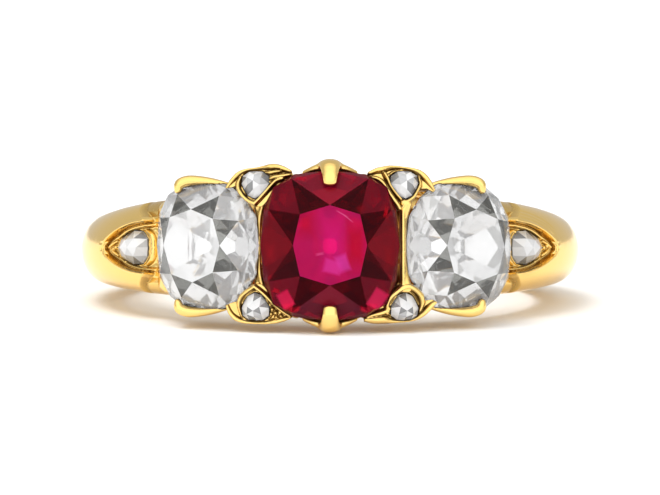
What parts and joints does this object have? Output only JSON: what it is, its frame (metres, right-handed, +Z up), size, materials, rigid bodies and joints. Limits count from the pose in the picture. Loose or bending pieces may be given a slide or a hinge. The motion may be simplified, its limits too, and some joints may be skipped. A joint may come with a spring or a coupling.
{
  "type": "carved three-stone finger ring",
  "caption": "Carved gold half-hoop finger ring: cushion-cut ruby between old-cut diamonds, small rose-cut diamonds in the carving, domed shank that tapers to the back.",
  "frame": {"origin": "centre of the bounding box at the level of the surface the ring lies on", "axes": "X runs across the row of stones, +Y from the head towards the back of the shank, +Z up from the surface. The finger hole's axis leans 7.3 degrees from +Z towards +Y."},
  "size_m": [0.021, 0.0224, 0.0071],
  "materials": {
    "gold": "polished 18 carat yellow gold, darker in the recesses",
    "ruby": "polished facets, deep red",
    "diamond": "polished facets, colourless"
  },
  "bodies": {
    "root": {"carved_hoop": "gold", "ruby": "ruby", "diamond_left": "diamond", "diamond_right": "diamond", "rose_left_upper": "diamond", "rose_left_lower": "diamond", "rose_right_upper": "diamond", "rose_right_lower": "diamond", "rose_left_shoulder": "diamond", "rose_right_shoulder": "diamond"}
  },
  "joints": []
}
